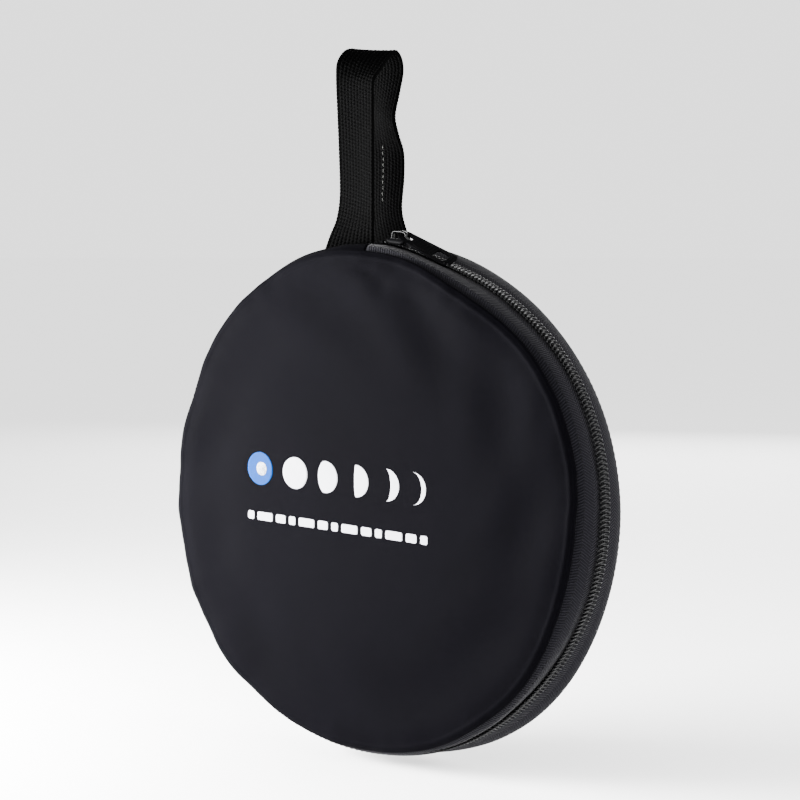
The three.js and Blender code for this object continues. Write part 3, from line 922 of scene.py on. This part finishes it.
def pull_plate():
    """The stamped pull: an eye for the bail, a raised rib field and an open end."""
    outlines = [rounded_box(*box) for box in (PULL_OUTLINE, PULL_EYE, PULL_WINDOW)]
    points, faces = outline_curve("pull_plate", outlines, PULL_THICK, PULL_BEVEL)
    parts = [build("pull_plate", at_pull(*points.T), faces, ENAMEL, smooth=False)]
    bead = full_turn(48)
    for x_mid, reach_x, reach_y in ((22.5, 5.1, 3.25), (11.9, 4.1, 2.6)):
        for face in (-1, 1):
            cx, cy = np.cos(bead), np.sin(bead)
            ring_x = x_mid + reach_x * np.sign(cx) * np.abs(cx) ** SQUARENESS
            ring_y = reach_y * np.sign(cy) * np.abs(cy) ** SQUARENESS
            path = at_pull(ring_x, ring_y, np.full_like(bead, 0.58 * face))
            bead_up = (0.3, 0.9, 0.3)
            parts.append(tube("rim_bead", path, 0.24 * MM, ENAMEL, closed=True, up=bead_up))
    for x in (9.9, 11.9, 13.9):
        y = np.linspace(-1.6, 1.6, 9)
        swell = 0.34 * (1 - (np.abs(y) / 1.75) ** 4) * MM
        for face in (-1, 1):
            path = at_pull(np.full_like(y, x), y, np.full_like(y, 0.56 * face))
            parts.append(tube("grip", path, swell, ENAMEL, up=(0.3, 0.1, 0.9)))
    return merged("pull_plate", parts)


CLIP_HALF, CLIP_OUT, CLIP_WIDE = 0.42, 1.9, 2.6  # degrees of rim, mm out and mm to each side


def stop_clip(name, psi_mid):
    """A crimped metal stop over the last coils."""
    psi = psi_mid + np.linspace(-CLIP_HALF, CLIP_HALF, 9)
    round_off = 1 - 0.35 * np.abs(np.linspace(-1, 1, 9)) ** 6
    corner = np.array([
        (1, 0.15), (1, 0.75), (0.86, 0.95), (0.5, 1.05), (0, 1.08), (-0.5, 1.05), (-0.86, 0.95), (-1, 0.75),
        (-1, 0.15), (-0.5, 0.1), (0.5, 0.1),
    ])
    rings = np.stack([
        at_rim(angle, RIM_RADIUS + CLIP_OUT * k * corner[:, 1], CHAIN_Y + CLIP_WIDE * k * corner[:, 0])
        for angle, k in zip(psi, round_off)
    ])
    return swept(name, rings, ENAMEL)


CLIP_GAP = 0.8  # from the end of the coil to the middle of a stop
start_clip = stop_clip("start_clip", COIL_FROM - CLIP_GAP)
end_clip = stop_clip("end_clip", COIL_TO + CLIP_GAP)
for piece, node, body in (
    (slider_shell(), "slider_body", "zip_slider"), (slider_bail(), "slider_crown", "zip_slider"),
    (pull_plate(), "pull_tab", "zip_pull"), (start_clip, "zip_start_stop", "rear_shell"),
    (end_clip, "zip_end_stop", "rear_shell"),
):
    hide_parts(node)
    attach(piece, body)


# ------ print on the front panel
def on_front(x, z, proud):
    """Points on the front panel's cloth at x and z mm from its middle."""
    x, z = np.broadcast_arrays(np.asarray(x, float), np.asarray(z, float))
    stand = panel_face(np.hypot(x, z), np.arctan2(x, z), -1)
    return at_disc(x, -(stand + proud), z)


PRINT_SLOPE, INK_PROUD, INK_UNDER = 0.035, 0.10, -0.12


def printed(name, shapes, material):
    """Thin ink over the weave. Each shape is a middle, then left and right edges at each height."""
    parts = []
    for (mid_x, mid_z), half_height, left, right in shapes:
        v = np.sin(np.linspace(-math.pi / 2, math.pi / 2, 33))
        u = np.linspace(0, 1, 17)
        x = mid_x + (left(v)[:, None] * (1 - u) + right(v)[:, None] * u)
        z = mid_z + half_height * v[:, None] - PRINT_SLOPE * (x + 15)
        top, under = on_front(x, z, INK_PROUD), on_front(x, z, INK_UNDER)
        rows, columns = x.shape
        grid = grid_faces(rows, columns)
        edge = [r * columns for r in range(rows)][::-1] + list(range(columns))
        edge += [r * columns + columns - 1 for r in range(1, rows)]
        edge += [(rows - 1) * columns + c for c in range(columns - 2, 0, -1)]
        count = rows * columns
        faces = [*grid, *(count + grid[:, ::-1])]
        faces += [(a, b, count + b, count + a) for a, b in zip(edge, edge[1:] + edge[:1])]
        points = np.concatenate([top.reshape(-1, 3), under.reshape(-1, 3)])
        part = build(name, points, faces, material)
        outward(part)
        parts.append(part)
    return merged(name, parts)


def disc_edge(radius):
    """Half a disc's width at each height v, from -1 to 1."""
    return lambda v: radius * np.sqrt(np.clip(1 - v * v, 0, 1))


def moon(middle, radius, lit):
    """A disc lit from its right. lit runs from 1, full, to -1, dark."""
    edge = disc_edge(radius)
    return middle, radius, lambda v: -lit * edge(v), edge


def bar(middle, half_width, half_height, corner=0.9):
    """A bar with rounded corners."""
    def reach(v):
        inset = np.clip((np.abs(v) * half_height - (half_height - corner)) / corner, 0, 1)
        return half_width - corner * (1 - np.sqrt(np.clip(1 - inset**2, 0, 1)))
    return middle, half_height, lambda v: -reach(v), reach


ROW_ONE, ROW_TWO = 10.5, -11.5  # heights of the two rows
MOON_RADIUS, BLUE_RADIUS, EYE_RADIUS = 7.2, 7.6, 3.1
MOONS = ((-36.5, 1.0), (-19.0, 0.55), (-1.5, 0.1), (15.5, -0.35), (30.0, -0.68))  # x, how far lit
DASH_HALVES, DASH_COUNT, DASH_HIGH, DASH_GAP = (1.9, 4.6, 2.9), 13, 1.9, 2.0
blue_mark = printed("print_blue_disc", [moon((-57.5, ROW_ONE), BLUE_RADIUS, 1)], BLUE_INK)
phases = [moon((x, ROW_ONE), MOON_RADIUS, lit) for x, lit in MOONS]
phases.append(moon((-56.6, ROW_ONE), EYE_RADIUS, 1.0))
white_phases = printed("print_disc_phases", phases, WHITE_INK)
dashes = []
cursor = -65.0
for k in range(DASH_COUNT):
    half = DASH_HALVES[k % 3]
    dashes.append(bar((cursor + half, ROW_TWO), half, DASH_HIGH))
    cursor += 2 * half + DASH_GAP
white_dashes = printed("print_dashes", dashes, WHITE_INK)
for piece in (blue_mark, white_phases, white_dashes):
    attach(piece, "front_flap")


# ------ packed reflector
def foil(name, dark, light, roughness, metallic):
    """Smooth cloth, crumpled in packing. metallic is 0 where it has no foil."""
    n = Nodes(name)
    threads = n.noise(2600.0, 2.0, 0.5)
    crush = n.noise(70.0, 6.0, 0.6)
    tone = n.times(threads, 0.4, n.times(crush, 0.6))
    fine = n.bump(threads, 0.00003, 0.4)
    return n.finish(
        n.mix(tone, dark, light), n.span(crush, roughness * 0.8, roughness * 1.25),
        n.bump(crush, 0.0012, 0.7, fine), Metallic=metallic, Specular_IOR_Level=0.1,
    )


def spring(name):
    """Drawn and blued spring steel."""
    n = Nodes(name)
    draw = n.noise(300.0, 3.0, 0.5)
    blueing = n.noise(25.0, 2.0, 0.5)
    return n.finish(
        n.mix(blueing, (0.20, 0.21, 0.24), (0.34, 0.35, 0.37)), n.span(draw, 0.22, 0.42),
        n.bump(draw, 0.00002, 0.4), Metallic=1.0,
    )


WHITE_CLOTH = foil("white_cloth", (0.11, 0.11, 0.107), (0.18, 0.18, 0.175), 0.75, 0.0)
SILVER_CLOTH = foil("silver_cloth", (0.045, 0.047, 0.051), (0.13, 0.135, 0.142), 0.42, 0.85)
GOLD_CLOTH = foil("gold_cloth", (0.09, 0.045, 0.008), (0.20, 0.115, 0.026), 0.42, 0.85)
SPRING_STEEL = spring("spring_steel")


def folded_cloth(name, node, low, high, pleats, seed, material):
    """Cloth drawn into spiral pleats as the hoop is coiled, lying between two heights in mm."""
    reach = (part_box(node)[1][0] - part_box(node)[0][0]) / 2 / MM - 0.6
    psi = full_turn(900)
    rounding = reach - np.array([2.2, 1.3, 0.6, 0.15, 0])
    radii = np.concatenate([np.linspace(0.5, reach - 3, 46), rounding])
    twist = np.random.default_rng(seed).uniform(0.5, 1.5)

    def surface(radius, at_top):
        rel = radius / reach
        turn = psi * pleats + twist * math.pi * rel * 3 + 1.5 * wander(psi, seed + 1, 5, 1, 5)
        ridge = 1 - np.abs(((turn / math.pi + (0 if at_top else 0.5)) % 2) - 1) ** 1.5
        fine = 0.16 * wander(psi + 0.9 * rel, seed + 2, 10, 12, 60)
        depth = (0.35 + 1.5 * smooth_step(rel * 1.6)) * (1 - 0.5 * rel**8)
        thick = np.sqrt(np.clip(1 - rel**18, 0, 1))
        middle = (low + high) / 2
        half = (high - low) / 2 * thick
        inset = depth * (1 - ridge) * thick + np.abs(fine) * thick
        return middle + (half - inset if at_top else inset - half)

    rings, uvs = [], []
    for at_top in (True, False):
        for radius in radii if at_top else radii[-2::-1]:
            edge = radius + (0.9 * wander(psi, seed + 4, 12, 5, 40) - 0.6) * (radius / reach) ** 6
            rings.append(at_angle(psi, edge, surface(radius, at_top)))
            uvs.append(np.stack([edge * np.sin(psi), edge * np.cos(psi)], axis=1) * MM)
    piece = swept(name, np.array(rings), material, uv=np.concatenate(uvs))
    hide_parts(node)
    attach(piece, "rear_shell")


INSIDE = HALF_THICKNESS - 4.0
MIDDLE_HALF, COVER_FROM = 2.5, 3.2
folded_cloth(
    "diffuser_folds", "diffuser_cloth", -MIDDLE_HALF, MIDDLE_HALF, 13, 71, WHITE_CLOTH
)
folded_cloth(
    "silver_folds", "cover_silver_cloth", -INSIDE, -COVER_FROM, 17, 73, SILVER_CLOTH
)
folded_cloth("gold_folds", "cover_gold_cloth", COVER_FROM, INSIDE, 15, 79, GOLD_CLOTH)


# ------ nodes kept as they are
PATCH_CLOTH = foil("patch_cloth", (0.001, 0.001, 0.0012), (0.004, 0.004, 0.005), 0.7, 0.0)
BINDING_KEPT = foil("binding_kept", (0.0008, 0.0008, 0.001), (0.003, 0.003, 0.0034), 0.75, 0.0)
WEBBING_KEPT = foil("webbing_kept", (0.0005, 0.0005, 0.0005), (0.003, 0.003, 0.003), 0.7, 0.0)
for node, material in (
    ("spring_hoop", SPRING_STEEL), ("hoop_ferrule", SPRING_STEEL), ("hoop_binding", BINDING_KEPT),
    ("handle_tail_front", WEBBING_KEPT), ("handle_tail_rear", WEBBING_KEPT), ("handle_patch", PATCH_CLOTH),
):
    kept = bpy.data.objects[node]
    kept.data.materials.clear()
    kept.data.materials.append(material)


# ------ camera, light and floor
def camera():
    yaw, pitch, distance, lens = 37.0, 4.2, 0.9, 89.7
    aside, raised = 0.0070, 0.0449  # to place the pouch in the picture as in the photo
    turn, tilt = math.radians(yaw), math.radians(pitch)
    level = math.cos(tilt)
    ahead = Vector((-math.sin(turn) * level, math.cos(turn) * level, -math.sin(tilt)))
    right = Vector((math.cos(turn), math.sin(turn), 0))
    up = right.cross(ahead)
    data = bpy.data.cameras.new("camera")
    data.lens = lens
    data.sensor_width = 36
    data.clip_start = 0.01
    eye = link(bpy.data.objects.new("camera", data))
    eye.location = Vector(CENTRE) - ahead * distance + right * aside + up * raised
    eye.rotation_euler = ahead.to_track_quat("-Z", "Y").to_euler()
    bpy.context.scene.camera = eye


def soft_light(name, place, size, power):
    """An area light that faces the disc's middle, placed in metres from it."""
    data = bpy.data.lights.new(name, "AREA")
    data.shape = "RECTANGLE"
    data.size, data.size_y = size
    data.energy = power
    lamp = link(bpy.data.objects.new(name, data))
    lamp.location = Vector(CENTRE) + Vector(place)
    lamp.rotation_euler = (-Vector(place)).to_track_quat("-Z", "Y").to_euler()


def studio():
    surround, floor_half, floor_drop = 2.1, 80.0, 0.0005
    world = bpy.data.worlds.new("studio")
    world.use_nodes = True
    colour, strength = world.node_tree.nodes["Background"].inputs[:2]
    colour.default_value = (1, 1, 1, 1)
    strength.default_value = surround
    bpy.context.scene.world = world
    soft_light("key", (-0.46, -0.35, 0.03), (0.4, 0.4), 100)
    soft_light("fill", (0.9, -1.4, 0.5), (1.0, 1.2), 3)
    soft_light("back", (-0.6, 1.3, 0.6), (1.0, 1.0), 22)
    soft_light("rim", (1.1, 0.25, 0.12), (0.7, 0.9), 44)

    n = Nodes("floor")
    paper = n.mix(n.noise(30.0, 3.0, 0.5), (0.955, 0.955, 0.955), (0.985, 0.985, 0.985))
    paper_white = n.finish(paper, 0.9)
    lowest = CAD_BOX[0][2] - floor_drop
    corners = [(x * floor_half, y * floor_half, lowest) for x, y in ((-1, -1), (1, -1), (1, 1), (-1, 1))]
    floor = build("floor", corners, [(0, 1, 2, 3)], paper_white)


camera()
studio()
